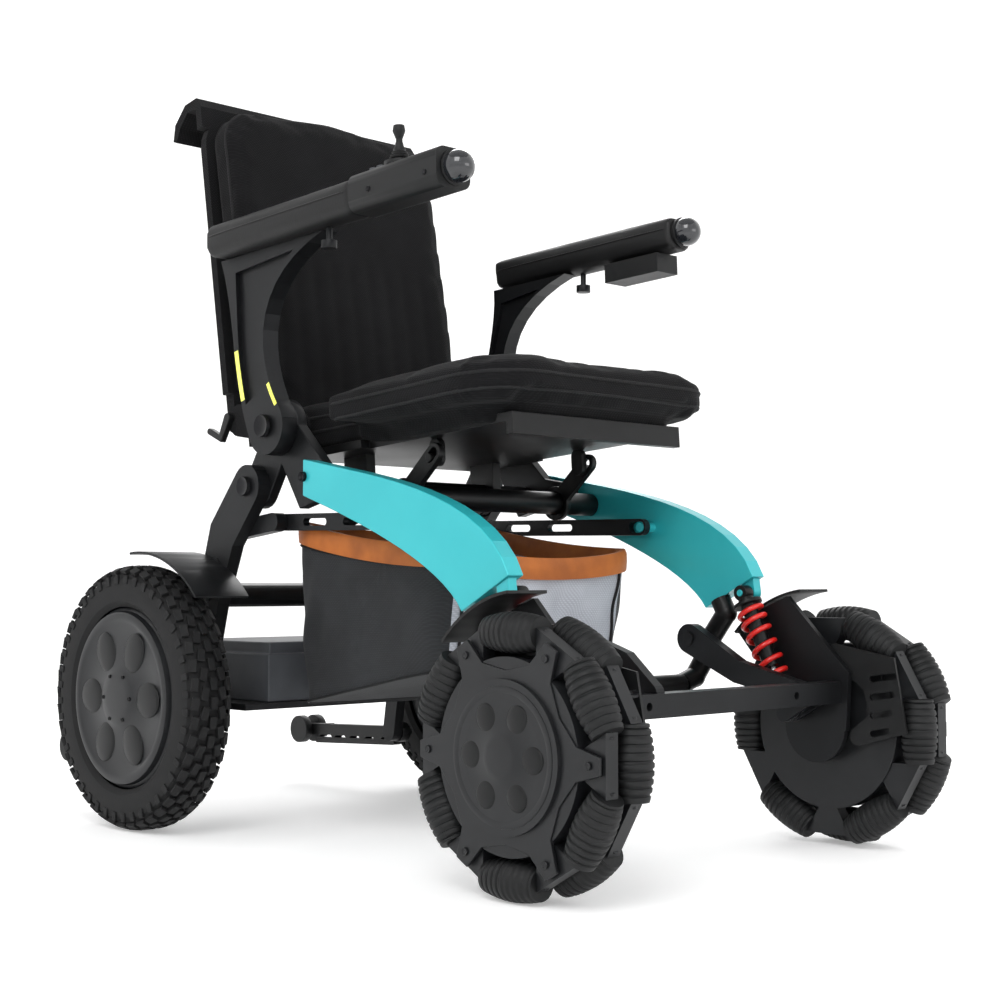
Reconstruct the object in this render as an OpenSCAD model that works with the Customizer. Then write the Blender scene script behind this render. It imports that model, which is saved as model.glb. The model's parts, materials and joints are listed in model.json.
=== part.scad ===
// Folding power wheelchair with omni-roller front wheels and hub-motor rear wheels.
// Millimetres. +Z is up, the chair faces -Y and the user's left is +X.
// The origin is on the floor, under the middle of the chair's box.
// Points written as pairs are [forward-back y, height z], with y counted from the rear axle.

/* [Rear wheels] */
// Outer diameter of the rear tyre
rear_tyre_d = 318; // [280:1:390]
// Width of the rear tyre
rear_tyre_w = 60; // [50:1:66]
// Distance between the middles of the rear tyres
rear_track = 540; // [530:2:600]
// Diameter of the rim that the tyre sits on
rear_rim_d = 218; // [180:2:240]

/* [Front omni wheels] */
// Outer diameter of the omni wheel
omni_d = 270; // [240:2:340]
// Distance between the middles of the front wheels
front_track = 502; // [494:2:600]
// Distance from the rear axle to the front axle
wheelbase = 650; // [600:5:780]
// Largest radius of a barrel roller
roller_r = 20; // [18:1:21]
// Length of a barrel roller
roller_len = 70; // [60:1:72]
// Distance between the two rows of rollers
row_gap = 35; // [35:1:42]
// Radius of the pin that a roller turns on
roller_pin_r = 4; // [3:0.5:6]

/* [Seat] */
// Height of the axis that the backrest and the armrests turn on
pivot_h = 481; // [470:1:560]
// Width of the seat cushion
cushion_w = 400; // [340:5:440]
// Length of the seat cushion
cushion_len = 440; // [380:5:500]
// Thickness of the seat cushion
cushion_t = 54; // [40:1:90]
// Rise of the seat towards the front, in degrees
seat_rise = 4; // [0:0.5:5]

/* [Backrest] */
// Height of the backrest above its axis
back_h = 460; // [340:5:540]
// Width of the backrest
back_w = 366; // [330:2:366]
// Thickness of the backrest pad
back_pad_t = 38; // [25:1:60]
// Lean of the backrest, in degrees
back_lean = 9.5; // [5:0.5:15]

/* [Armrests] */
// Height of the armrest's underside above the backrest axis
arm_h = 208; // [180:2:250]
// Length of the right armrest with its front section
arm_len = 427; // [360:1:480]
// Length of the front section that carries the controls
pod_len = 145; // [120:1:160]
// Length of the left armrest
left_arm_len = 315; // [270:5:360]
// Width of the armrest
arm_w = 48; // [40:1:56]
// Depth of the armrest
arm_t = 43; // [35:1:55]

/* [Frame] */
// Distance between the inner faces of the two side beams
beam_gap = 370; // [366:2:386]
// Thickness of a side beam
beam_t = 22; // [14:1:23]
// Radius of the two cross tubes
cross_r = 14; // [10:1:16]
// Radius of the lower front hoop tube
hoop_r = 12; // [9:1:14]
// Reach of the anti-tip wheels behind the rear axle
anti_tip_reach = 275; // [240:5:340]
// Radius of an anti-tip wheel
anti_tip_r = 20; // [15:1:24]

/* [Battery and bag] */
// Width of the battery box
battery_w = 300; // [220:5:320]
// Height of the battery box
battery_h = 73; // [60:1:100]
// Width of the cargo bag
bag_w = 316; // [260:4:316]
// Depth of the cargo bag
bag_h = 220; // [160:4:224]

/* [Hidden] */
$fn = 64;
run = 0.1; // radial clearance of a pin in its bore
gap = 0.4; // side clearance between pieces that move past each other
seat_clear = 0.3; // gap under a soft piece
knuckle = 0.6; // how far a tube's bend stands proud of its straights

tyre_r = rear_tyre_d / 2;
rim_r = rear_rim_d / 2;
omni_r = omni_d / 2;
rear_x = rear_track / 2;
front_x = front_track / 2;
// the whole chair is shifted so that its box is centred on the origin
home_y = (wheelbase + omni_r - anti_tip_reach - anti_tip_r) / 2;

rear_axle = [0, tyre_r];
front_axle = [-wheelbase, omni_r];
axle_r = 10;
stub_r = 8;

// main axis of backrest and armrests, and the axis that the rear frame folds on
main_pivot = [-165, pivot_h];
main_pin_r = 10;
fold_pivot = main_pivot + [45, -69];
fold_pin_r = 9;
boss_r = 26;
disc_r = 34;

// side plates stand inside the beams, and the arms and rear legs run outside the plates
beam_x = beam_gap / 2;
plate_t = 14;
plate_x = beam_x - plate_t;
arm_x = beam_x + gap;
arm_plate_t = beam_t;
leg_x = beam_x + gap;
leg_t = 17;

// top and bottom edges of a side beam, from rear to front
beam_rear_y = main_pivot.x - 73;
beam_top = [
    [beam_rear_y, main_pivot.y - 43],
    [beam_rear_y - 0.35 * (wheelbase - 331), main_pivot.y - 66],
    front_axle + [omni_r - 25, omni_r + 125],
    front_axle + [omni_r - 62, omni_r + 34]
];
beam_bottom = [
    [beam_rear_y, main_pivot.y - 85],
    [beam_rear_y - 0.41 * (wheelbase - 331), main_pivot.y - 126],
    front_axle + [omni_r + 35, omni_r + 40],
    front_axle + [omni_r + 8, omni_r - 3]
];
beam_steps = 14;

function bezier(p, t) = p[0] * pow(1 - t, 3) + 3 * p[1] * pow(1 - t, 2) * t
    + 3 * p[2] * (1 - t) * t * t + p[3] * pow(t, 3);
function curve(p, n) = [for (i = [0:n]) bezier(p, i / n)];
function backwards(list) = [for (i = [len(list) - 1:-1:0]) list[i]];
function beam_middle(t) = (bezier(beam_top, t) + bezier(beam_bottom, t)) / 2;
function turned(v, a) = [v.x * cos(a) - v.y * sin(a), v.x * sin(a) + v.y * cos(a)];
function unit(v) = v / norm(v);

// seat: hinge on the rear cross tube, links on the front cross tube
seat_pivot = main_pivot + [-50, -73];
front_tube = beam_middle(0.22);
pan_base = 40;
pan_t = 10;
pan_half_w = 136;
pan_front = -290;
inner_half_w = beam_x - 36;
link_pin_local = [-154, 18];
link_pin = seat_pivot + turned(link_pin_local, -seat_rise);
link_x = 120;
link_t = 8;
link_slot = 9;
link_pin_r = 5;

// rear frame: lug for the fold strut, and the pin on the beam that its slot rides on
strut_lug = fold_pivot + [-31, -43];
strut_pin = beam_middle(0.5);
strut_pin_r = 6;
strut_t = 9;
strut_x = plate_x - strut_t - gap;
strut_h = 20;
strut_slot = 10;
strut_play = 0.8;
tray_t = 8;
tray_z = rear_axle.y - 16;
tray_half_len = 100;
anti_tip_pivot = [60, 85];
anti_tip_axle = [anti_tip_reach, 77];
anti_tip_w = 12;

// front axle: swings on the hoop, held up by two coil-over shocks
swing_pivot = front_axle + [omni_r + 3, 97];
swing_pin_r = 8;
swing_t = 14;
crossbar = front_axle + [-25, 40];
crossbar_h = 24;
crossbar_d = 22;
carrier_x = front_x - row_gap / 2 - roller_r - 11;
carrier_t = 6;
shock_x = beam_x - 3;
shock_top = bezier(beam_top, 1) + [11, -19];
shock_bottom = front_axle + [20, 15];
shock_len = norm(shock_top - shock_bottom);
shock_dir = unit(shock_bottom - shock_top);
shock_body_r = 9;
shock_rod_r = 5;
spring_r = 14;
spring_wire_r = 3;
spring_turns = 7;
swing_x = shock_x - spring_r - spring_wire_r - 4 - swing_t;
eye_r = 9;
eye_w = 14;
eye_pin_r = 4;
hoop_x = beam_x + 4;
hoop_low_y = swing_pivot.x + 14;
hoop_low_z = 178;

// omni wheel
roller_half = roller_len / 2;
roller_ring_r = omni_r - roller_r;
hub_r = roller_ring_r - roller_r - 2;
hub_half = row_gap / 2 + roller_r - 10;
spoke_half = 8;
rollers = 12;

// armrest frame, tilted a little up to the front
arm_rise = 2.4;
arm_base = main_pivot + [95, arm_h];
arm_center_x = arm_x + arm_w / 2 - 1;
pad_len = arm_len - pod_len - 0.3;
left_pad_start = 70;
left_end = left_pad_start + left_arm_len;
lamp_r = 17;
stick_back = 85;
stick_well_r = 14;
stick_well_h = 14;

// ---------- helpers ----------

module home() {
    translate([0, home_y, 0]) children();
}

// extrudes a [y, z] outline from x0 to x1
module slab(x0, x1) {
    translate([x0, 0, 0]) rotate([90, 0, 90]) linear_extrude(x1 - x0) children();
}

module on_side(side) {
    if (side > 0) children();
    else mirror([1, 0, 0]) children();
}

module both_sides() {
    children();
    mirror([1, 0, 0]) children();
}

// round bar along X through a [y, z] point
module xbar(x0, x1, at, r) {
    translate([x0, at.x, at.y]) rotate([0, 90, 0]) cylinder(h = x1 - x0, r = r);
}

// round bar between two points
module rod(p, q, r) {
    v = q - p;
    translate(p) rotate([0, acos(v.z / norm(v)), atan2(v.y, v.x)]) cylinder(h = norm(v), r = r);
}

// bent tube through a list of points
module bent_tube(points, r) {
    for (i = [0:len(points) - 2]) rod(points[i], points[i + 1], r);
    for (i = [1:len(points) - 2]) translate(points[i]) sphere(r = r + knuckle);
}

// outline of a blade that changes width from point to point, with round ends
module blade(points, widths) {
    last = len(points) - 1;
    function heading(i) = unit(points[min(i + 1, last)] - points[max(i - 1, 0)]);
    function edge(i, side) = points[i] + side * turned(heading(i), 90) * widths[i] / 2;
    function round_end(i, turn) =
        let (a = atan2(heading(i).y, heading(i).x) + turn)
        [for (k = [0:12]) points[i] + widths[i] / 2 * [cos(a - 15 * k), sin(a - 15 * k)]];
    polygon(concat(
        [for (i = [1:1:last - 1]) edge(i, 1)],
        round_end(last, 90),
        [for (i = [last - 1:-1:1]) edge(i, -1)],
        round_end(0, -90)
    ));
}

// outline of a round-ended strip
module strip(p, q, w) {
    blade([p, q], [w, w]);
}

module rounded_rect(w, h, r) {
    translate([-w / 2 + r, 0]) square([w - 2 * r, h]);
    translate([-w / 2, r]) square([w, h - 2 * r]);
    for (x = [-w / 2 + r, w / 2 - r], y = [r, h - r]) translate([x, y]) circle(r = r);
}

// moves to a [y, z] point and tilts the front up
module tilted(at, rise) {
    translate([0, at.x, at.y]) rotate([-rise, 0, 0]) children();
}

// ---------- main frame ----------

module beam_outline() {
    polygon(concat(curve(beam_top, beam_steps), backwards(curve(beam_bottom, beam_steps))));
}

module side_beam(side) {
    color("#2fb5bd") home() on_side(side) union() {
        slab(beam_x, beam_x + beam_t) beam_outline();
        xbar(strut_x, beam_x + 2, strut_pin, strut_pin_r);
        // bracket and pin for the upper eye of the shock
        slab(shock_x + shock_body_r + gap, beam_x + beam_t - 3)
            strip(shock_top, bezier(beam_top, 1) + [14, 4], 18);
        xbar(shock_x - eye_w / 2 - 1, beam_x + beam_t - 4, shock_top, eye_pin_r);
    }
}

module side_plate_outline() {
    difference() {
        polygon([
            main_pivot + [3 - disc_r, 4],
            [beam_rear_y - 14, main_pivot.y - 50],
            [beam_rear_y - 62, main_pivot.y - 58],
            [beam_rear_y - 62, main_pivot.y - 92],
            [beam_rear_y - 8, main_pivot.y - 88],
            main_pivot + [-38, -98],
            main_pivot + [0, -40],
            main_pivot
        ]);
        // room for the strut's lug as the rear frame folds
        translate(fold_pivot) polygon([for (a = [194:8:346]) 66 * [cos(a), sin(a)]]);
    }
    translate(main_pivot) circle(r = disc_r);
    strip(main_pivot, fold_pivot, 2 * boss_r);
}

module side_plates() {
    color("#2b2d30") home() both_sides() {
        slab(plate_x, beam_x) side_plate_outline();
        xbar(plate_x - 17, arm_x + arm_plate_t + 3, main_pivot, main_pin_r);
        xbar(beam_x - 1, leg_x + leg_t + 2, fold_pivot, fold_pin_r);
    }
}

module cross_tubes() {
    bracket_half = 34;
    color("#1d1e20") home() union() {
        xbar(-plate_x, plate_x, seat_pivot, cross_r);
        xbar(-beam_x, beam_x, front_tube, cross_r);
        slab(-bracket_half, bracket_half) strip(seat_pivot + [0, -4], front_tube + [0, -4], 16);
    }
}

module lower_hoop() {
    // the tube starts square on the beam's cut end
    end_line = bezier(beam_bottom, 1) - bezier(beam_top, 1);
    start = bezier(beam_top, 1) + 0.72 * end_line;
    below = start + 18 * turned(unit(end_line), -90);
    top = [hoop_x, start.x, start.y];
    neck = [hoop_x, below.x, below.y];
    knee = [hoop_x, swing_pivot.x, swing_pivot.y];
    ankle = [hoop_x, hoop_low_y - 4, hoop_low_z + 30];
    corner = [hoop_x - 14, hoop_low_y, hoop_low_z + 8];
    inner = [hoop_x - 40, hoop_low_y, hoop_low_z];
    color("#17181a") home() union() {
        both_sides() {
            bent_tube([top, neck, knee, ankle, corner, inner], hoop_r);
            xbar(swing_x - 3, hoop_x, swing_pivot, swing_pin_r);
        }
        rod(inner, [-inner.x, inner.y, inner.z], hoop_r);
        both_sides() translate(inner) sphere(r = hoop_r + knuckle);
    }
}

module cargo_bag() {
    wall = 3;
    rear_y = main_pivot.x + 25;
    front_y = hoop_low_y + 70;
    top_z = seat_pivot.y - cross_r - 22;
    front_top_z = top_z - 37;
    low_z = top_z - bag_h;
    front_low_z = low_z + 50;
    strap_z = seat_pivot.y - cross_r - seat_clear;
    color("#34363a") home() union() {
        difference() {
            slab(-bag_w / 2, bag_w / 2) polygon([
                [rear_y, top_z],
                [front_y, front_top_z],
                [front_y + 20, front_low_z],
                [rear_y - 12, low_z]
            ]);
            slab(-bag_w / 2 + wall, bag_w / 2 - wall) polygon([
                [rear_y - wall, top_z + 1],
                [front_y + wall, front_top_z + 1],
                [front_y + 20 + wall, front_low_z + wall],
                [rear_y - 12 - wall, low_z + wall]
            ]);
        }
        both_sides() {
            // strap from the rear edge up to the rear cross tube
            slab(60, 85) polygon([
                [rear_y - 1, top_z - 12],
                [rear_y - 1, top_z - 2],
                [seat_pivot.x + 8, strap_z],
                [seat_pivot.x - 8, strap_z],
                [seat_pivot.x - 8, strap_z - 4]
            ]);
            // tab from the front corner out to the side beam
            slab(bag_w / 2 - wall, beam_x - seat_clear)
                strip(beam_middle(0.66), [front_y + 16, front_top_z - 18], 16);
        }
    }
}

// ---------- seat ----------

module pan_outline() {
    translate([-inner_half_w, -60]) square([2 * inner_half_w, 120]);
    translate([-pan_half_w, pan_front]) square([2 * pan_half_w, -50 - pan_front]);
}

module seat_pan() {
    color("#222325") home() tilted(seat_pivot, seat_rise) difference() {
        union() {
            translate([0, 0, pan_base]) linear_extrude(pan_t) pan_outline();
            both_sides() {
                slab(96, 110) strip([0, 0], [0, pan_base + 4], 2 * cross_r + 14);
                slab(link_x - 9, link_x - gap) strip(link_pin_local, [link_pin_local.x, pan_base - 8], 18);
                xbar(link_x - 5, link_x + link_t + 2, link_pin_local, link_pin_r);
            }
            translate([-pan_half_w, pan_front - 8, pan_base - 14])
                cube([2 * pan_half_w, 10, pan_t + 14]);
        }
        xbar(-plate_x, plate_x, [0, 0], cross_r + run);
        translate([-400, -400, pan_base + pan_t]) cube([800, 800, 40]);
    }
}

// cushion outline from above: round front corners, a narrower rear end between the plates
module cushion_outline(inset) {
    corner_r = 76 - inset / 2;
    front = 100 - cushion_len + inset;
    side_x = cushion_w / 2 - inset;
    translate([-inner_half_w, -60]) square([2 * inner_half_w, 160]);
    translate([-side_x, front + corner_r]) square([2 * side_x, -44 - front - corner_r]);
    translate([-side_x + corner_r, front]) square([2 * (side_x - corner_r), corner_r + 1]);
    for (x = [-side_x + corner_r, side_x - corner_r])
        translate([x, front + corner_r]) circle(r = corner_r);
}

module seat_cushion() {
    base_t = 0.4 * cushion_t;
    base_inset = 44;
    color("#161617") home() tilted(seat_pivot, seat_rise)
        translate([0, 0, pan_base + pan_t + seat_clear]) union() {
            linear_extrude(base_t + 1) cushion_outline(base_inset);
            translate([0, 0, base_t]) linear_extrude(cushion_t - base_t) cushion_outline(0);
        }
}

module seat_links() {
    v = link_pin - front_tube;
    tip = front_tube + v + unit(v) * link_slot;
    color("#2a2b2d") home() both_sides() slab(link_x, link_x + link_t) difference() {
        union() {
            strip(front_tube, tip, 22);
            translate(front_tube) circle(r = cross_r + 7);
        }
        translate(front_tube) circle(r = cross_r + run);
        strip(front_tube + v, tip, 2 * (link_pin_r + gap));
    }
}

// ---------- backrest ----------

module backrest_frame() {
    translate([0, main_pivot.x, main_pivot.y]) rotate([-back_lean, 0, 0]) children();
}

// stands a [x, z] outline up, from depth y0 to y1 behind the axis
module panel(y0, y1) {
    translate([0, y1, 0]) rotate([90, 0, 0]) linear_extrude(y1 - y0) children();
}

back_front = 70;
back_rear = back_front + back_pad_t;

module back_outline(half_w, top, inset) {
    corner_r = 46;
    crown = 12;
    low = inset;
    translate([-inner_half_w + 4, low]) square([2 * inner_half_w - 8, 80]);
    polygon(concat(
        [[half_w, 64 + inset]],
        [for (a = [0:15:90]) [half_w - corner_r + corner_r * cos(a), top - crown - corner_r + corner_r * sin(a)]],
        [[0, top]],
        [for (a = [90:15:180]) [-half_w + corner_r + corner_r * cos(a),
            top - crown - corner_r + corner_r * sin(a)]],
        [[-half_w, 64 + inset]]
    ));
}

module backrest_pad() {
    color("#141415") home() backrest_frame()
        panel(back_front, back_rear) back_outline(back_w / 2, back_h, 2);
}

module backrest_shell() {
    shell_y = back_rear + seat_clear;
    shell_t = 12;
    color("#1c1d1f") home() backrest_frame() difference() {
        union() {
            panel(shell_y, shell_y + shell_t) back_outline(back_w / 2 - 5, back_h - 8, 6);
            // push-handle lip that curls back from the top edge
            slab(-back_w / 2 + 2, back_w / 2 - 2) polygon([
                [shell_y, back_h - 12], [shell_y + 8, back_h + 2], [shell_y + 34, back_h + 2],
                [shell_y + 60, back_h - 16], [shell_y + 67, back_h - 36], [shell_y + 60, back_h - 40],
                [shell_y + 50, back_h - 24], [shell_y + 30, back_h - 10],
                [shell_y + shell_t, back_h - 12], [shell_y + shell_t, back_h - 40],
                [shell_y, back_h - 40]
            ]);
            both_sides() slab(plate_x - 16, plate_x - gap) difference() {
                union() {
                    strip([0, 0], [back_rear - 6, 34], 40);
                    strip([back_rear + 8, 30], [back_rear + 8, 120], 16);
                }
                translate([0, 0]) circle(r = main_pin_r + run);
            }
        }
        // room for the lever's pin
        xbar(-plate_x - 20, -plate_x + 12, [back_rear + 8, 40], 3 + run);
    }
}

module recline_lever() {
    pivot = [back_rear + 8, 40];
    color("#101011") home() backrest_frame() union() {
        slab(-plate_x - 8, -plate_x + gap / 2)
            blade([pivot, pivot + [18, -22], pivot + [40, -8]], [12, 11, 8]);
        xbar(-plate_x - 4, -plate_x + 10, pivot, 3);
    }
}

// ---------- armrests ----------

// edges of the curved arm, from the axis disc up to the armrest
function pad_bottom(y) = arm_base.y + (arm_base.x - y) * tan(arm_rise) - seat_clear;
function arm_rear_edge(top_y) = [
    main_pivot + [32, -11],
    main_pivot + [68, 0.30 * arm_h],
    [main_pivot.x + 0.68 * (top_y - main_pivot.x), main_pivot.y + 0.68 * arm_h],
    [top_y, pad_bottom(top_y)]
];
arm_front_edge = [
    main_pivot + [-33, 9],
    main_pivot + [35, 0.48 * arm_h],
    main_pivot + [15, 0.87 * arm_h],
    [main_pivot.x - 110, pad_bottom(main_pivot.x - 110)]
];
arm_steps = 12;

module arm_web(rear_edge, inset, t0, t1) {
    function across(t, k) = bezier(rear_edge, t) * (1 - k) + bezier(arm_front_edge, t) * k;
    polygon(concat(
        [for (i = [0:arm_steps]) across(t0 + (t1 - t0) * i / arm_steps, inset)],
        [for (i = [arm_steps:-1:0]) across(t0 + (t1 - t0) * i / arm_steps, 1 - inset)]
    ));
}

module thumbscrew(y) {
    top = pad_bottom(y);
    translate([arm_center_x, y, top - 16]) cylinder(h = 16, r = 3.5);
    translate([arm_center_x, y, top - 24]) cylinder(h = 9, r = 9);
}

module armrest_arm(side) {
    recess = 6;
    rear_edge = arm_rear_edge(arm_base.x - (side > 0 ? left_pad_start + 2 : 2));
    color("#1a1b1d") home() on_side(side) union() {
        difference() {
            slab(arm_x, arm_x + arm_plate_t) union() {
                arm_web(rear_edge, 0, 0, 1);
                translate(main_pivot) circle(r = disc_r);
            }
            slab(arm_x - 1, arm_x + recess) arm_web(rear_edge, 0.14, 0.16, 0.9);
            slab(arm_x + arm_plate_t - recess, arm_x + arm_plate_t + 1) arm_web(rear_edge, 0.14, 0.16, 0.9);
            xbar(arm_x - 1, arm_x + arm_plate_t + 1, main_pivot, main_pin_r + run);
        }
        thumbscrew(main_pivot.x - 122);
    }
}

// runs an [x, z] outline forward along the armrest, from one distance to another
module along_arm(from, to) {
    tilted(arm_base, arm_rise) translate([0, -from, 0])
        rotate([90, 0, 0]) linear_extrude(to - from) children();
}

module armrest_pad(side) {
    from = side > 0 ? left_pad_start : 0;
    to = side > 0 ? left_end : pad_len;
    color("#18191a") home() on_side(side) along_arm(from, to)
        translate([arm_center_x, 0]) rounded_rect(arm_w, arm_t, 12);
}

module lamp(side, end) {
    on_side(side) tilted(arm_base, arm_rise)
        translate([arm_center_x, -end - 8, arm_t / 2]) sphere(r = lamp_r);
}

module control_pod() {
    color("#202123") home() difference() {
        union() {
            on_side(-1) along_arm(pad_len + 0.3, arm_len)
                translate([arm_center_x, 0]) rounded_rect(arm_w, arm_t, 12);
            lamp(-1, arm_len);
            tilted(arm_base, arm_rise) translate([-arm_center_x, stick_back - arm_len, arm_t - 1])
                cylinder(h = 5, r = 17);
        }
        stick_place() {
            cylinder(h = 40, r = stick_well_r);
            translate([-18, 0, stick_well_h - 6]) rotate([0, 90, 0]) cylinder(h = 36, r = 2 + run);
        }
    }
}

module control_box() {
    color("#202123") home() union() {
        difference() {
            lamp(1, left_end);
            along_arm(0, left_end + seat_clear) translate([arm_center_x - arm_w, -arm_w])
                square([2 * arm_w, 3 * arm_w]);
        }
        tilted(arm_base, arm_rise) translate([arm_center_x - 19, 25 - left_end, -24])
            cube([38, 88, 24 - seat_clear]);
    }
}

// bottom of the well that the joystick sits in
module stick_place() {
    tilted(arm_base, arm_rise)
        translate([-arm_center_x, stick_back - arm_len, arm_t + 4 - stick_well_h]) children();
}

module joystick_gimbal() {
    color("#3a3b3d") home() stick_place() translate([0, 0, stick_well_h - 6]) difference() {
        union() {
            translate([0, 0, -2.5]) cylinder(h = 5, r = 12);
            translate([-16, 0, 0]) rotate([0, 90, 0]) cylinder(h = 32, r = 2);
        }
        sphere(r = 8);
        rotate([90, 0, 0]) cylinder(h = 30, r = 1.5 + run, center = true);
    }
}

module joystick_stick() {
    color("#111112") home() stick_place() translate([0, 0, stick_well_h - 6]) union() {
        sphere(r = 6.5);
        rotate([90, 0, 0]) cylinder(h = 22, r = 1.5, center = true);
        cylinder(h = 34, r1 = 4.5, r2 = 3.5);
        translate([0, 0, 32]) cylinder(h = 8, r1 = 4, r2 = 7);
        translate([0, 0, 40]) cylinder(h = 6, r1 = 7, r2 = 6);
    }
}

// ---------- rear frame ----------

module leg_outline() {
    blade(
        [fold_pivot, [-70, rear_axle.y + 196], [-42, rear_axle.y + 120], rear_axle],
        [2 * boss_r, 54, 46, 62]
    );
}

module rear_frame() {
    fender_r = tyre_r + 14;
    fender_in = leg_x + leg_t - 1;
    fender_out = rear_x + 6;
    color("#1d1e20") home() union() {
        both_sides() {
            difference() {
                slab(leg_x, leg_x + leg_t) leg_outline();
                xbar(leg_x - 1, leg_x + leg_t + 1, fold_pivot, fold_pin_r + run);
            }
            slab(plate_x + gap, leg_x + 1) difference() {
                strip(strut_lug, strut_lug + [72, -8], 22);
                translate(fold_pivot) circle(r = boss_r + 2);
            }
            xbar(strut_x - 1, plate_x + 4, strut_lug, strut_pin_r);
            xbar(leg_x + 1, rear_x - 4, rear_axle, axle_r);
            xbar(leg_x + 1, rear_x - rear_tyre_w / 2 - 8, rear_axle, 26);
            slab(plate_x, leg_x + 1) strip([tray_half_len / 2, tray_z + 6], anti_tip_pivot, 24);
            xbar(plate_x + 2, leg_x + leg_t + 8, anti_tip_pivot, 6);
            // mudguard over the front of the rear wheel
            slab(fender_in, fender_out) difference() {
                intersection() {
                    translate(rear_axle) circle(r = fender_r + 3);
                    polygon([
                        rear_axle,
                        rear_axle + turned([400, 0], 84),
                        rear_axle + turned([400, 0], 136)
                    ]);
                }
                translate(rear_axle) circle(r = fender_r);
            }
            slab(fender_in - leg_t + 2, fender_in + 2)
                strip([-42, rear_axle.y + 120], rear_axle + turned([fender_r + 1.5, 0], 110), 10);
        }
        xbar(-leg_x - 1, leg_x + 1, [-34, rear_axle.y + 123], 15);
        translate([-leg_x - 1, -tray_half_len, tray_z])
            cube([2 * leg_x + 2, 2 * tray_half_len, tray_t]);
    }
}

module battery_box() {
    color("#3c3e41") home() translate([-battery_w / 2, -tray_half_len + 4, tray_z + tray_t]) union() {
        cube([battery_w, 2 * tray_half_len - 8, battery_h - 14]);
        translate([6, 6, battery_h - 15]) cube([battery_w - 12, 2 * tray_half_len - 20, 15]);
    }
}

module fold_struts() {
    v = strut_pin - strut_lug;
    along = unit(v);
    color("#232427") home() both_sides() slab(strut_x, strut_x + strut_t) difference() {
        strip(strut_lug, strut_pin, strut_h);
        translate(strut_lug) circle(r = strut_pin_r + run);
        strip(strut_pin - along * strut_slot, strut_pin + along, 2 * (strut_pin_r + strut_play));
        strip(strut_lug + along * 45, strut_lug + along * 80, 9);
        strip(strut_lug + along * 120, strut_lug + along * 155, 9);
    }
}

module anti_tip_arms() {
    rise = 15;
    bar = 8;
    color("#1b1c1e") home() both_sides() slab(leg_x + 1.5, leg_x + leg_t - 1.5) difference() {
        union() {
            strip(anti_tip_pivot, anti_tip_axle, bar + 8);
            strip(anti_tip_pivot + [10, -rise], anti_tip_axle + [-30, -rise], bar);
            for (i = [0:4]) strip(
                anti_tip_pivot + [10 + 34 * i, -rise],
                anti_tip_pivot + [27 + 34 * i, 0], bar - 2);
            for (i = [0:4]) strip(
                anti_tip_pivot + [44 + 34 * i, -rise],
                anti_tip_pivot + [27 + 34 * i, 0], bar - 2);
            translate(anti_tip_pivot) circle(r = 14);
        }
        translate(anti_tip_pivot) circle(r = 6 + run);
        translate(anti_tip_axle) circle(r = 4 + run);
    }
}

module anti_tip_wheels() {
    color("#242527") home() both_sides() {
        for (x = [leg_x - anti_tip_w + 1, leg_x + leg_t - 1])
            xbar(x, x + anti_tip_w, anti_tip_axle, anti_tip_r);
        xbar(leg_x - 2, leg_x + leg_t + 2, anti_tip_axle, 4);
    }
}

// turns a profile drawn as [radius, sideways] about a wheel's axle
module wheel_turned(side, x, axle) {
    translate([side * x, axle.x, axle.y]) rotate([0, side * 90, 0]) rotate_extrude() children();
}

module rear_tyre(side) {
    mid = (tyre_r + rim_r) / 2;
    half_h = (tyre_r - rim_r) / 2;
    function squircle(v) = sign(v) * pow(abs(v), 0.62);
    color("#1f2021") home() wheel_turned(side, rear_x, rear_axle) polygon([
        for (a = [0:15:345])
            [mid + half_h * squircle(cos(a)), rear_tyre_w / 2 * squircle(sin(a))]
    ]);
}

module rear_hub(side) {
    face = rear_tyre_w / 2 - 8;
    color("#2c2d2f") home() difference() {
        wheel_turned(side, rear_x, rear_axle) polygon([
            [0, -face],
            [rim_r - 22, -face],
            [rim_r - 16, -face + 8],
            [rim_r - seat_clear, -face + 4],
            [rim_r - seat_clear, face - 2],
            [rim_r - 8, face + 3],
            [rim_r - 18, face + 4],
            [0, face + 6]
        ]);
        on_side(side) xbar(rear_x - face - 2, rear_x - 2, rear_axle, axle_r + run);
    }
}

// ---------- front axle ----------

module carrier_outline() {
    fender_r = omni_r + 16;
    translate(front_axle) circle(r = 40);
    polygon([
        front_axle + [38, -12],
        front_axle + [48, 34],
        front_axle + turned([fender_r, 0], 44),
        front_axle + turned([fender_r + 1, 0], 58),
        front_axle + turned([fender_r, 0], 76),
        front_axle + [-46, 62],
        front_axle + [-42, -2]
    ]);
}

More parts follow.
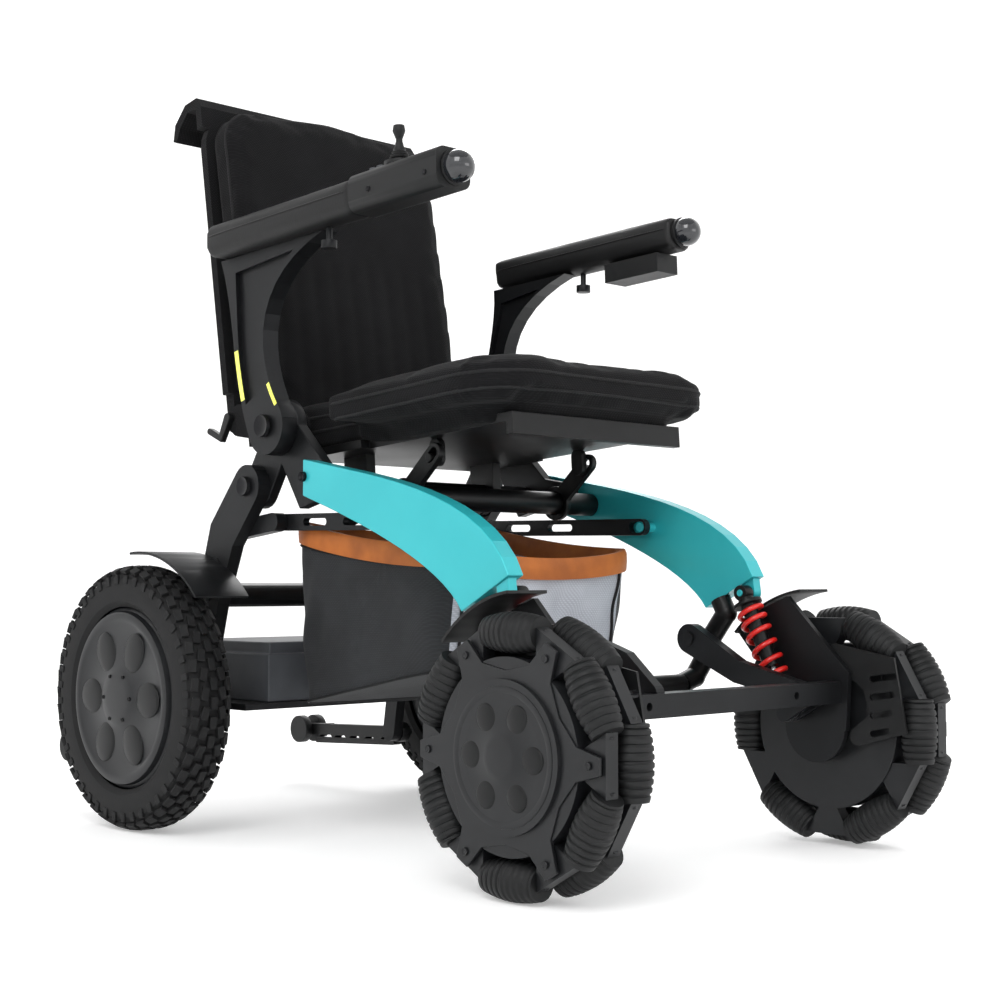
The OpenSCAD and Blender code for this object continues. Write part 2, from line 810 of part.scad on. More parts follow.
module front_axle_frame() {
    hole_x = 120;
    color("#222326") home() difference() {
        union() {
            translate([-carrier_x, crossbar.x - crossbar_d / 2, crossbar.y - crossbar_h / 2])
                cube([2 * carrier_x, crossbar_d, crossbar_h]);
            both_sides() {
                slab(carrier_x - 1, carrier_x + carrier_t) carrier_outline();
                xbar(carrier_x + 1, front_x + 14, front_axle, stub_r);
                slab(swing_x, swing_x + swing_t)
                    blade([swing_pivot, swing_pivot + [-70, -36], crossbar], [34, 26, 22]);
                // lugs and pin for the lower eye of the shock
                xbar(shock_x - eye_w / 2 - 5, shock_x + eye_w / 2 + 5, shock_bottom, eye_pin_r);
                for (x = [shock_x - eye_w / 2 - 6, shock_x + eye_w / 2 + 1])
                    slab(x, x + 5) blade([shock_bottom, crossbar + [8, -4]], [18, 16]);
            }
            // towing eye, a curved strap bolted on the right half of the bar
            slab(-104, -92) difference() {
                blade([crossbar + [6, 10], crossbar + [40, 42], crossbar + [72, 50]], [26, 22, 26]);
                translate(crossbar + [72, 50]) circle(r = 6);
            }
        }
        both_sides() {
            xbar(swing_x - 1, swing_x + swing_t + 1, swing_pivot, swing_pin_r + run);
            translate([hole_x, crossbar.x - 20, crossbar.y]) rotate([-90, 0, 0])
                cylinder(h = 40, r = 4.25);
        }
    }
}

// mudguards over the omni wheels and the slotted guards inside them
module front_fenders() {
    fender_r = omni_r + 18;
    skin = 3;
    guard_x = carrier_x + carrier_t;
    color("#1b1c1e") home() both_sides() {
        slab(guard_x - 4, front_x + 8) difference() {
            intersection() {
                translate(front_axle) circle(r = fender_r + skin);
                polygon([
                    front_axle,
                    front_axle + turned([300, 0], 42),
                    front_axle + turned([420, 0], 60),
                    front_axle + turned([300, 0], 82)
                ]);
            }
            translate(front_axle) circle(r = fender_r);
        }
        slab(guard_x, guard_x + 3) difference() {
            blade(
                [front_axle + [-24, 84], front_axle + [-80, 62], front_axle + [-92, 8], front_axle + [-52, -8]],
                [20, 54, 50, 20]
            );
            translate(front_axle) circle(r = stub_r + 6);
            for (i = [0:3]) strip(
                front_axle + [-100 + 3 * i, 60 - 20 * i], front_axle + [-72, 56 - 20 * i], 7);
        }
    }
}

// places a child with its Z axis along the shock, starting at the upper eye
module along_shock(side) {
    on_side(side) translate([shock_x, shock_top.x, shock_top.y])
        rotate([atan2(-shock_dir.x, shock_dir.y), 0, 0]) children();
}

module eye() {
    difference() {
        rotate([0, 90, 0]) cylinder(h = eye_w, r = eye_r, center = true);
        rotate([0, 90, 0]) cylinder(h = eye_w + 2, r = eye_pin_r + run, center = true);
    }
}

shock_body_len = shock_len * 0.62;

module shock_bodies() {
    color("#202124") home() for (side = [1, -1]) along_shock(side) difference() {
        union() {
            eye();
            translate([0, 0, eye_r - 2]) cylinder(h = shock_body_len - eye_r + 2, r = shock_body_r);
            translate([0, 0, eye_r + 3]) cylinder(h = 4, r = spring_r + spring_wire_r);
        }
        translate([0, 0, shock_body_len - 40]) cylinder(h = 60, r = shock_rod_r + run);
    }
}

module shock_rods() {
    color("#b9bcc0") home() for (side = [1, -1]) along_shock(side) difference() {
        union() {
            translate([0, 0, shock_len - 62]) cylinder(h = 62 - eye_r + 2, r = shock_rod_r);
            translate([0, 0, shock_len]) rotate([0, 90, 0])
                cylinder(h = eye_w, r = eye_r, center = true);
            translate([0, 0, shock_len - eye_r - 15]) cylinder(h = 4, r = spring_r + spring_wire_r);
        }
        translate([0, 0, shock_len]) rotate([0, 90, 0])
            cylinder(h = eye_w + 2, r = eye_pin_r + 1.5, center = true);
    }
}

// closed helix of round wire, standing on z = 0
module coil(radius, wire_r, height, turns) {
    per_turn = 16;
    sides = 6;
    rings = turns * per_turn;
    points = [for (i = [0:rings], k = [0:sides - 1])
        let (a = 360 * i / per_turn, b = 360 * k / sides, r = radius + wire_r * cos(b))
        [r * cos(a), r * sin(a), height * i / rings + wire_r * sin(b)]];
    walls = [for (i = [0:rings - 1], k = [0:sides - 1])
        let (n = (k + 1) % sides)
        [i * sides + k, (i + 1) * sides + k, (i + 1) * sides + n, i * sides + n]];
    first = [for (k = [0:sides - 1]) k];
    last = [for (k = [sides - 1:-1:0]) rings * sides + k];
    polyhedron(points, concat(walls, [first, last]));
}

module shock_springs() {
    first = eye_r + 7 + seat_clear + spring_wire_r;
    last = shock_len - eye_r - 15 - seat_clear - spring_wire_r;
    color("#d8261c") home() for (side = [1, -1]) along_shock(side)
        translate([0, 0, first]) coil(spring_r, spring_wire_r, last - first, spring_turns);
}

// ---------- omni wheels ----------

function row_side(i) = i % 2 == 0 ? 1 : -1;
function spoke_half_w(r) = (r / 2 - roller_half - 0.5) / cos(30);

// places a child on roller i's axis: its Z runs along the roller and its Y outwards
module at_roller(side, i) {
    on_side(side) translate([front_x + row_side(i) * row_gap / 2, front_axle.x, front_axle.y])
        rotate([90 + 360 / rollers * i, 0, 0]) translate([0, roller_ring_r, 0]) children();
}

module roller(side, i) {
    steps = 8;
    color("#252628") home() at_roller(side, i) rotate_extrude() polygon(concat(
        [[roller_pin_r + run, -roller_half]],
        [for (k = [-steps:steps]) let (t = roller_half * k / steps)
            [sqrt(omni_r * omni_r - t * t) - roller_ring_r, t]],
        [[roller_pin_r + run, roller_half]]
    ));
}

module front_hub(side) {
    inner = hub_r - 4;
    outer = roller_ring_r + 7;
    color("#303134") home() difference() {
        union() {
            on_side(side) xbar(front_x - hub_half, front_x + hub_half + 2, front_axle, hub_r);
            on_side(side) xbar(front_x + hub_half, front_x + hub_half + 8, front_axle, hub_r * 0.78);
            for (i = [0:rollers - 1]) {
                at_roller(side, i) cylinder(h = roller_len + 12, r = roller_pin_r, center = true);
                on_side(side)
                    translate([front_x + row_side(i) * row_gap / 2, front_axle.x, front_axle.y])
                    rotate([120 + 360 / rollers * i, 0, 0]) slab(-spoke_half, spoke_half) polygon([
                        [inner, -spoke_half_w(inner)],
                        [outer, -spoke_half_w(outer)],
                        [outer, spoke_half_w(outer)],
                        [inner, spoke_half_w(inner)]
                    ]);
            }
        }
        on_side(side) xbar(front_x - hub_half - 1, front_x + 16, front_axle, stub_r + run);
    }
}

side_beam(-1);  // side_beam_right
side_beam(1);  // side_beam_left
side_plates();
cross_tubes();
lower_hoop();
cargo_bag();
seat_pan();
seat_cushion();
seat_links();
backrest_shell();
backrest_pad();
recline_lever();
armrest_arm(-1);  // armrest_arm_right
armrest_arm(1);  // armrest_arm_left
armrest_pad(-1);  // armrest_pad_right
armrest_pad(1);  // armrest_pad_left
control_pod();
control_box();
joystick_gimbal();
joystick_stick();
rear_frame();
battery_box();
fold_struts();
anti_tip_arms();
anti_tip_wheels();
rear_tyre(-1);  // rear_tyre_right
rear_tyre(1);  // rear_tyre_left
rear_hub(-1);  // rear_hub_right
rear_hub(1);  // rear_hub_left
front_axle_frame();
front_fenders();
shock_bodies();
shock_rods();
shock_springs();
front_hub(-1);  // front_hub_right
front_hub(1);  // front_hub_left
for (i = [0:rollers - 1]) {
    number = str(i < 9 ? "0" : "", i + 1);
    roller(-1, i);
    roller(1, i);
}
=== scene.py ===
import json
import math

import bmesh
import bpy
from mathutils import Euler, Matrix, Vector


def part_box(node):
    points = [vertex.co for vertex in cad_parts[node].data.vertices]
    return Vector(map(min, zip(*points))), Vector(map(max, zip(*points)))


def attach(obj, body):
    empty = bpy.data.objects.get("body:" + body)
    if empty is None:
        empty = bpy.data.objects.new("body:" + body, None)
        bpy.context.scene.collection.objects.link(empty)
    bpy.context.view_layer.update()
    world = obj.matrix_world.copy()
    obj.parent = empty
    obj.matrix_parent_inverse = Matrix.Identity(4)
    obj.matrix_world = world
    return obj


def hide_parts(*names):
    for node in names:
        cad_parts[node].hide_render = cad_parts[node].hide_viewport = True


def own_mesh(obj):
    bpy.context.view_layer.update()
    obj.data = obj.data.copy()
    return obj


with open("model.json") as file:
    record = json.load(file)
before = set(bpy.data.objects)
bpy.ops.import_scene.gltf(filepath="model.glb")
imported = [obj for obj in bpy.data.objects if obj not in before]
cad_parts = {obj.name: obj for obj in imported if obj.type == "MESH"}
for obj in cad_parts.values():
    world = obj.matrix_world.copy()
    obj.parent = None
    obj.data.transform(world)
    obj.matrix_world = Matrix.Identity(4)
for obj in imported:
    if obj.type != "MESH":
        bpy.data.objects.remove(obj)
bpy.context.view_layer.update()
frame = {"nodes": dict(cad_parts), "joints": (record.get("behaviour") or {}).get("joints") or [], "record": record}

MM = 0.001
JOINTS = {joint["name"]: joint for joint in frame["joints"]}
# sign of X on each side of the chair
SIDES = {"right": -1, "left": 1}
AXLE = Vector(JOINTS["rear_wheel_right_spin"]["pos_m"])
PIVOT = Vector(JOINTS["backrest_fold"]["pos_m"])
SEAT_PIVOT = Vector(JOINTS["seat_tilt"]["pos_m"])
SWING = Vector(JOINTS["front_axle_swing"]["pos_m"])

# slopes of the back, the seat and the armrests
BACK_LEAN = math.radians(9.5)
SEAT_RISE = math.radians(4)
ARM_RISE = math.radians(2.4)

# edges sharper than this stay sharp, and edges sharper than the second are rounded
SHARP_DEG = 32
ROUNDED_DEG = 34

# the camera: side offset, distance in front of the rear axle and height in metres,
# pitch (90 degrees is level), heading and lens
CAMERA_X = -1.373
CAMERA_AHEAD = 1.785
CAMERA_HEIGHT = 0.2955
CAMERA_PITCH = math.radians(92.85)
CAMERA_HEADING = math.radians(-43.7)
CAMERA_LENS_MM = 60.7

# name, place, aim and size in metres, and power in watts
LIGHTS = (("key", (-2.2, -1.6, 2.6), (0, 0, 0.4), (1.6, 1.6), 42),
          ("rim", (1.8, 1.8, 2.2), (0, 0, 0.5), (1.2, 1.6), 30),
          ("front", (0.6, -3.0, 0.9), (0, 0, 0.3), (1.6, 0.8), 9))
WORLD_STRENGTH = 0.55

# a wave texture of scale 1 repeats every 314 mm
WAVE_REPEAT_MM = 314

# tread blocks: across in mm, shift in pitches, drop below the crown in mm, lean and yaw in degrees
TREAD_ROWS = ((0, 0.0, 2.6, 0, 0), (11.4, 0.5, 3.0, 8, 14), (-11.4, 0.5, 3.0, -8, -14),
              (21.8, 0.0, 6.6, 30, 8), (-21.8, 0.0, 6.6, -30, -8))
TREAD_PITCHES = 44

# one sixth of the star plate: degrees from its start, share of the roller ring's radius
STAR_ARM = ((0, 0.70), (20, 0.80), (26, 1.04), (34, 1.04), (40, 0.80))

# [outwards from the hub's face, radius] in mm
FRONT_CAP = ((-9, 64), (-3, 67), (0.5, 66), (1.2, 63), (0.2, 60), (-0.4, 58), (0.6, 40),
             (1.6, 24), (3.2, 21), (3.8, 16), (4, 0.02))

# bellows of the joystick: [height, radius] in mm
SKIRT = ((9.5, 10.5), (11, 11), (12, 9.2), (13.5, 10), (15, 8), (16.5, 8.6), (18, 6.6),
         (20, 6.8), (23, 4.9), (27, 4.2))

# leather rim of the bag: [outwards, height] in mm
RIM = ((4.2, -22), (5, -12), (4.8, -2), (2.6, 3), (-2.6, 3), (-4.8, -2), (-5, -12), (-4.2, -22))

# finish and edge width in mm of the CAD nodes, by material slot
COATS = {"teal_paint": ("teal_coat", 4.0), "charcoal_paint": ("charcoal_coat", 1.4),
         "black_paint": ("black_coat", 0.9), "bag_fabric": ("ballistic", 0),
         "seat_fabric": ("knit", 0), "black_plastic": ("nylon", 1.2), "arm_vinyl": ("vinyl", 0),
         "black_rubber": ("roller", 0.6), "battery_case": ("abs", 2.0), "tyre": ("tread", 0),
         "hub_cover": ("cover", 0.8), "polished_rod": ("plated", 0.4),
         "red_spring": ("red_enamel", 0), "roller_rubber": ("roller", 0)}
# the shell is wrapped in the same cloth as the pad
WRAPPED = {"backrest_shell": ("knit", 5.0)}


def mm(*values):
    """Millimetres to metres."""
    return tuple(value * MM for value in values)


# ---------- camera, floor and light ----------

def make_camera():
    data = bpy.data.cameras.new("camera")
    camera = bpy.data.objects.new("camera", data)
    bpy.context.scene.collection.objects.link(camera)
    camera.location = (CAMERA_X, AXLE.y - CAMERA_AHEAD, CAMERA_HEIGHT)
    camera.rotation_euler = Euler((CAMERA_PITCH, 0, CAMERA_HEADING))
    data.sensor_width = 36
    data.lens = CAMERA_LENS_MM
    data.clip_end = 60
    bpy.context.scene.camera = camera


def area_light(name, place, aim, size, power):
    data = bpy.data.lights.new(name, "AREA")
    data.shape = "RECTANGLE"
    data.size, data.size_y = size
    data.energy = power
    light = bpy.data.objects.new(name, data)
    light.location = place
    light.rotation_euler = (Vector(aim) - Vector(place)).to_track_quat("-Z", "Y").to_euler()
    bpy.context.scene.collection.objects.link(light)


def make_studio():
    """White world, three lights and a round floor that curves up into a wall on all sides."""
    world = bpy.data.worlds.new("studio")
    world.use_nodes = True
    background = world.node_tree.nodes["Background"]
    background.inputs["Color"].default_value = (1, 1, 1, 1)
    background.inputs["Strength"].default_value = WORLD_STRENGTH
    bpy.context.scene.world = world
    bpy.context.scene.view_settings.view_transform = "Standard"
    for light in LIGHTS:
        area_light(*light)
    # [height, radius] in metres, outwards from a small hole in the middle
    hole_r, flat_r, curve_r, wall_top = 0.01, 6.0, 3, 11.0
    profile = [(0, hole_r), (0, flat_r)]
    for degrees in range(6, 91, 6):
        angle = math.radians(degrees)
        profile.append((curve_r - curve_r * math.cos(angle), flat_r + curve_r * math.sin(angle)))
    profile.append((wall_top, flat_r + curve_r))
    bm = revolved(profile, 64, Matrix.Rotation(-math.pi / 2, 4, "Y"))
    bmesh.ops.recalc_face_normals(bm, faces=bm.faces)
    paper = matt("studio paper", "#F4F4F4", 0.9, Emission_Color=(1, 1, 1, 1),
                 Emission_Strength=0.3)
    add_object("studio_floor", bm, paper)


# ---------- materials ----------

def colour(hex_code):
    """sRGB hex to linear RGBA."""
    parts = [int(hex_code[i:i + 2], 16) / 255 for i in (1, 3, 5)]
    linear = [c / 12.92 if c <= 0.04045 else ((c + 0.055) / 1.055) ** 2.4 for c in parts]
    return (*linear, 1.0)


def add(tree, kind, settings=None, **inputs):
    """One shader node with its settings, values and links. An underscore stands for a space."""
    node = tree.nodes.new("ShaderNode" + kind)
    for name, value in (settings or {}).items():
        setattr(node, name, value)
    for name, value in inputs.items():
        socket = node.inputs[name.replace("_", " ")]
        if isinstance(value, bpy.types.NodeSocket):
            tree.links.new(value, socket)
        else:
            socket.default_value = value
    return node


def start_material(name):
    material = bpy.data.materials.new(name)
    material.use_nodes = True
    tree = material.node_tree
    tree.nodes.clear()
    return material, tree, add(tree, "TexCoord").outputs["Object"]


def finish_material(material, tree, **inputs):
    shader = add(tree, "BsdfPrincipled", **inputs)
    add(tree, "OutputMaterial", Surface=shader.outputs[0])
    return material


def matt(name, hex_code, roughness, **extra):
    """One plain colour."""
    material, tree, _ = start_material(name)
    return finish_material(material, tree, Base_Color=colour(hex_code), Roughness=roughness,
                           **extra)


def ramp(tree, factor, dark, light, low=0.35, high=0.65):
    node = add(tree, "ValToRGB", Fac=factor)
    node.color_ramp.elements[0].position = low
    node.color_ramp.elements[0].color = dark
    node.color_ramp.elements[1].position = high
    node.color_ramp.elements[1].color = light
    return node.outputs["Color"]


def span(tree, value, low, high):
    return add(tree, "MapRange", Value=value, To_Min=low, To_Max=high).outputs["Result"]


def grained(name, dark, light, roughness, grain_mm, depth_mm, cloud_mm=90, **extra):
    """Hard, rubber or leather surface: slow colour clouds, fine grain, slightly uneven gloss."""
    material, tree, place = start_material(name)
    cloud = add(tree, "TexNoise", Vector=place, Scale=1 / (cloud_mm * MM), Detail=4.0)
    grain = add(tree, "TexNoise", Vector=place, Scale=1 / (grain_mm * MM), Detail=2.0)
    bump = add(tree, "Bump", Height=grain.outputs["Fac"], Distance=depth_mm * MM, Strength=0.6)
    extra.setdefault("Specular_IOR_Level", 0.34)
    return finish_material(
        material, tree,
        Base_Color=ramp(tree, cloud.outputs["Fac"], colour(dark), colour(light)),
        Roughness=span(tree, cloud.outputs["Fac"], roughness - 0.06, roughness + 0.08),
        Normal=bump.outputs["Normal"], **extra)


def woven(name, dark, light, thread_mm, depth_mm, roughness=0.9, **extra):
    """Cloth: two crossed sets of threads, with soft variation over the piece."""
    material, tree, place = start_material(name)
    threads = add(tree, "Math", {"operation": "MULTIPLY"})
    for socket, direction in zip(threads.inputs, ("DIAGONAL", "Z")):
        wave = add(tree, "TexWave", {"bands_direction": direction}, Vector=place,
                   Scale=WAVE_REPEAT_MM / thread_mm, Distortion=0.6)
        tree.links.new(wave.outputs["Fac"], socket)
    cloud = add(tree, "TexNoise", Vector=place, Scale=14.0, Detail=5.0)
    # half of the threads' shade is added to the clouds
    mixed = add(tree, "Math", {"operation": "MULTIPLY_ADD"})
    tree.links.new(threads.outputs[0], mixed.inputs[0])
    mixed.inputs[1].default_value = 0.5
    tree.links.new(cloud.outputs["Fac"], mixed.inputs[2])
    bump = add(tree, "Bump", Height=threads.outputs[0], Distance=depth_mm * MM, Strength=0.7)
    return finish_material(
        material, tree,
        Base_Color=ramp(tree, mixed.outputs[0], colour(dark), colour(light), 0.3, 0.95),
        Roughness=roughness, Normal=bump.outputs["Normal"], **extra)


def make_materials():
    return {
        # metallic powder coat: bright teal with a fine orange peel under clear lacquer
        "teal_coat": grained("teal powder coat", "#2BB2BA", "#33B9C0", 0.34, 2.5, 0.03,
                             Metallic=0.25, Coat_Weight=0.35, Coat_Roughness=0.2),
        # cast and coated aluminium: charcoal satin with a fine sandy grain
        "charcoal_coat": grained("charcoal powder coat", "#121315", "#191A1C", 0.42, 1.6, 0.08,
                                 Metallic=0.35),
        # black satin coat on tubes and brackets
        "black_coat": grained("black powder coat", "#0A0A0B", "#101112", 0.4, 1.6, 0.06,
                              Metallic=0.2),
        # moulded nylon: dull black with spark-eroded texture
        "nylon": grained("moulded black nylon", "#0B0B0C", "#111213", 0.5, 1.2, 0.1),
        # hub covers: slightly lighter moulded plastic with soft sheen
        "cover": grained("moulded hub cover", "#141517", "#1C1D1F", 0.38, 1.4, 0.06),
        # tread rubber: very dark and dull
        "tread": grained("tread rubber", "#0A0A0B", "#121213", 0.72, 3.0, 0.25),
        # roller rubber and other rubber parts, a little smoother than the tread
        "roller": grained("roller rubber", "#0C0D0E", "#131415", 0.55, 2.0, 0.12),
        # padded vinyl: fine leather grain
        "vinyl": grained("padded vinyl", "#0B0B0C", "#111112", 0.5, 2.4, 0.25),
        # knitted spacer cloth on seat and back
        "knit": woven("knitted spacer cloth", "#050506", "#101012", 2.2, 0.5,
                      Specular_IOR_Level=0.2, Sheen_Weight=0.03),
        # piping of the seat and back
        "band": woven("side band cloth", "#070708", "#131315", 2.0, 0.4),
        # bag: charcoal ballistic nylon
        "ballistic": woven("charcoal nylon cloth", "#121315", "#26282B", 2.0, 0.4, 0.8),
        # bag lining and front panel: light grey felt
        "felt": woven("light grey felt", "#8F929A", "#BBBEC6", 2.2, 0.3),
        # bag rim: waxed saddle leather
        "leather": grained("saddle leather", "#9A5420", "#B8682A", 0.55, 1.8, 0.3, 40),
        # black bias tape on the bag's edges, and its straps
        "tape": grained("bias tape", "#0C0C0D", "#151516", 0.8, 1.5, 0.2),
        # battery case and switch keys: dark grey ABS
        "abs": grained("grey ABS case", "#3B3D41", "#4A4C50", 0.5, 1.4, 0.08),
        # springs: gloss red enamel
        "red_enamel": grained("red spring enamel", "#C8140F", "#E23028", 0.3, 3.0, 0.03,
                              Coat_Weight=0.5, Coat_Roughness=0.15),
        # plated rods
        "plated": grained("plated steel", "#A9ABAE", "#C8CACC", 0.24, 2.0, 0.02, Metallic=1.0),
        # blackened socket screws and pivot caps
        "black_steel": grained("blackened steel", "#1A1A1B", "#2C2C2E", 0.36, 1.5, 0.03,
                               Metallic=0.9),
        # fluorescent reflective tape; its emission is a painted glow, the tape is no lamp
        "reflector_painted_glow": grained("yellow reflective tape with painted glow", "#E8EE5A", "#FBFF80", 0.35, 1.2, 0.04,
                             Emission_Color=colour("#EEF56A"), Emission_Strength=0.25),
        # glossy lamp lens in the armrest tip
        "lens": grained("smoked lamp lens", "#16171A", "#202226", 0.1, 4.0, 0.01,
                        Coat_Weight=1.0, Coat_Roughness=0.03),
    }


# ---------- reading the frame ----------

def corners(node):
    """Lowest and highest corner of a CAD node at rest."""
    return [Vector(corner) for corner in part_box(node)]


def middle(node):
    low, high = corners(node)
    return (low + high) / 2


def points_of(node):
    obj = frame["nodes"][node]
    return [obj.matrix_world @ v.co for v in obj.data.vertices]


def turned(start, end):
    """Rotation that takes one direction to another."""
    return Vector(start).rotation_difference(end).to_matrix().to_4x4()


def tilted(rise):
    """The upward line of a part that is tipped back by this angle."""
    return Vector((0, math.sin(rise), math.cos(rise)))


def joint_frame(name):
    """Matrix whose X axis is the joint's axis and whose origin is on it."""
    joint = JOINTS[name]
    along = Vector(joint["axis"]).normalized()
    return Matrix.Translation(Vector(joint["pos_m"])) @ turned((1, 0, 0), along)


# ---------- making pieces ----------

def add_object(name, bm, material, smooth_angle=SHARP_DEG):
    mesh = bpy.data.meshes.new(name)
    bm.to_mesh(mesh)
    bm.free()
    mesh.polygons.foreach_set("use_smooth", [True] * len(mesh.polygons))
    mesh.set_sharp_from_angle(angle=math.radians(smooth_angle))
    mesh.materials.append(material)
    obj = bpy.data.objects.new(name, mesh)
    bpy.context.scene.collection.objects.link(obj)
    return obj


def piece(name, bm, material, body, stands_for=(), smooth_angle=SHARP_DEG):
    """An object on a body, in place of the CAD nodes it stands for."""
    obj = add_object(name, bm, material, smooth_angle)
    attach(obj, body)
    if stands_for:
        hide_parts(*stands_for)
    return obj


def repaint(node, material):
    obj = frame["nodes"][node]
    for slot in obj.material_slots:
        slot.material = material
    return obj


def round_edges(obj, width_mm):
    edges = obj.modifiers.new("edges", "BEVEL")
    edges.width = width_mm * MM
    edges.segments = 2
    edges.limit_method = "ANGLE"
    edges.angle_limit = math.radians(ROUNDED_DEG)
    edges.harden_normals = True


def soften(node, material, width_mm):
    """A CAD node keeps its shape and gets small rounded edges and a finish."""
    obj = repaint(node, material)
    weld = obj.modifiers.new("weld", "WELD")
    weld.merge_threshold = 0.02 * MM
    flat = obj.modifiers.new("flat", "DECIMATE")
    flat.decimate_type = "DISSOLVE"
    flat.angle_limit = math.radians(1)
    round_edges(obj, width_mm)


def revolved(outline, steps, axis_matrix):
    """Spins [along, radius] points about the matrix's X axis."""
    bm = bmesh.new()
    verts = [bm.verts.new((x, 0, r)) for x, r in outline]
    edges = [bm.edges.new(pair) for pair in zip(verts, verts[1:])]
    bmesh.ops.spin(bm, geom=verts + edges, axis=(1, 0, 0), cent=(0, 0, 0), steps=steps,
                   angle=math.tau, use_merge=True, use_duplicate=False)
    bmesh.ops.remove_doubles(bm, verts=bm.verts, dist=0.01 * MM)
    bmesh.ops.recalc_face_normals(bm, faces=bm.faces)
    bmesh.ops.transform(bm, matrix=axis_matrix, verts=bm.verts)
    return bm


def bolt(bm, place, outwards, radius, height):
    """A socket screw head with its socket."""
    sides = 18
    outwards = Vector(outwards)
    matrix = (Matrix.Translation(Vector(place) + outwards * height / 2)
              @ turned((0, 0, 1), outwards))
    made = bmesh.ops.create_cone(bm, cap_ends=True, segments=sides, radius1=radius,
                                 radius2=radius * 0.92, depth=height, matrix=matrix)
    bm.normal_update()
    caps = [f for f in {f for v in made["verts"] for f in v.link_faces}
            if len(f.verts) == sides and f.normal.dot(outwards) > 0.9]
    bmesh.ops.inset_region(bm, faces=caps, thickness=radius * 0.42)
    for face in caps:
        bmesh.ops.translate(bm, verts=face.verts, vec=-outwards * height * 0.55)


def block(bm, matrix, size):
    bmesh.ops.create_cube(bm, size=1, matrix=matrix @ Matrix.Diagonal((*size, 1)))


def pillow(bm, matrix, size):
    """An ellipsoid; the size is its three radii."""
    bmesh.ops.create_uvsphere(bm, u_segments=20, v_segments=12, radius=1,
                              matrix=matrix @ Matrix.Diagonal((*size, 1)))


def skin(bm, rings, closed=False):
    """Joins rings of the same count of vertices with quads."""
    pairs = list(zip(rings, rings[1:])) + ([(rings[-1], rings[0])] if closed else [])
    return [[bm.faces.new((a[k - 1], a[k], b[k], b[k - 1])) for k in range(len(a))]
            for a, b in pairs]


def end_caps(bm, rings):
    bm.faces.new(rings[0][::-1])
    bm.faces.new(rings[-1])


def tube(bm, points, radius, closed=False, sides=8):
    """Round bar through points."""
    count = len(points)
    side = None
    rings = []
    for i, point in enumerate(points):
        if closed:
            ahead = (points[(i + 1) % count] - points[i - 1]).normalized()
        else:
            ahead = (points[min(i + 1, count - 1)] - points[max(i - 1, 0)]).normalized()
        side = side or ahead.orthogonal()
        side = (side - ahead * side.dot(ahead)).normalized()
        other = ahead.cross(side)
        rings.append([bm.verts.new(point + radius * (side * math.cos(math.tau * k / sides)
                                                     + other * math.sin(math.tau * k / sides)))
                      for k in range(sides)])
    skin(bm, rings, closed)
    if not closed:
        end_caps(bm, rings)


# ---------- padded pieces ----------

def bake(obj):
    """Applies the modifiers of obj to its mesh."""
    graph = bpy.context.evaluated_depsgraph_get()
    mesh = bpy.data.meshes.new_from_object(obj.evaluated_get(graph))
    obj.modifiers.clear()
    obj.data = mesh


def inflated(name, node, material, voxel_mm, shrink_mm, cap_mm, pressure, shape=None):
    """A padded copy of a CAD node, swollen by a cloth simulation from a slightly smaller start.

    No point moves further than cap_mm in the simulation; shape then moves each point in place.
    """
    source = frame["nodes"][node]
    centre = middle(node)
    size = (corners(node)[1] - centre) * 2
    shrink = Matrix.Diagonal([1 - 2 * shrink_mm * MM / side for side in size] + [1])
    bm = bmesh.new()
    bm.from_mesh(source.data)
    bmesh.ops.transform(bm, verts=bm.verts, matrix=Matrix.Translation(centre) @ shrink
                        @ Matrix.Translation(-centre) @ source.matrix_world)
    obj = add_object(name, bm, material)
    remesh = obj.modifiers.new("remesh", "REMESH")
    remesh.mode = "VOXEL"
    remesh.voxel_size = voxel_mm * MM
    bake(obj)
    before = [v.co.copy() for v in obj.data.vertices]
    cloth = obj.modifiers.new("cloth", "CLOTH")
    cloth.settings.quality = 4
    cloth.settings.use_pressure = True
    cloth.settings.uniform_pressure_force = pressure
    cloth.settings.effector_weights.gravity = 0
    for step in range(1, 21):
        bpy.context.scene.frame_set(step)
    bake(obj)
    bpy.context.scene.frame_set(1)
    for vertex, start in zip(obj.data.vertices, before):
        moved = vertex.co - start
        if moved.length > cap_mm * MM:
            vertex.co = start + moved * (cap_mm * MM / moved.length)
    if shape:
        for vertex in obj.data.vertices:
            shape(vertex.co)
    finer = obj.modifiers.new("finer", "SUBSURF")
    finer.levels = finer.render_levels = 1
    bake(obj)
    obj.data.materials.clear()
    obj.data.materials.append(material)
    obj.data.polygons.foreach_set("use_smooth", [True] * len(obj.data.polygons))
    return obj


def upholster(obj, body, node):
    """Puts a padded cover on its body, in place of its CAD node."""
    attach(obj, body)
    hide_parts(node)


def section(obj, place, normal, step_mm):
    """The longest closed line where a plane cuts a mesh, as evenly spaced points."""
    bm = bmesh.new()
    bm.from_mesh(obj.data)
    cut = bmesh.ops.bisect_plane(bm, geom=bm.verts[:] + bm.edges[:] + bm.faces[:],
                                 plane_co=place, plane_no=normal, clear_inner=True,
                                 clear_outer=True)["geom_cut"]
    left = {g for g in cut if isinstance(g, bmesh.types.BMVert)}
    loops = []
    while left:
        at = min(left, key=lambda v: v.index)
        loop = []
        while at:
            left.discard(at)
            loop.append(at.co.copy())
            near = [e.other_vert(at) for e in at.link_edges]
            at = next((v for v in near if v in left), None)
        loops.append(loop)
    bm.free()
    loop = max(loops, key=len)
    points = [loop[0]]
    for point in loop:
        if (point - points[-1]).length > step_mm * MM:
            points.append(point)
    return [(points[i - 2] + 2 * points[i - 1] + points[i]) / 4 for i in range(len(points))]


def seam(name, cover, place, normal, radius_mm, material, body, step_mm=7):
    """Round piping where a plane cuts a padded cover."""
    bm = bmesh.new()
    tube(bm, section(cover, place, normal, step_mm), radius_mm * MM, closed=True)
    piece(name, bm, material, body, smooth_angle=60)


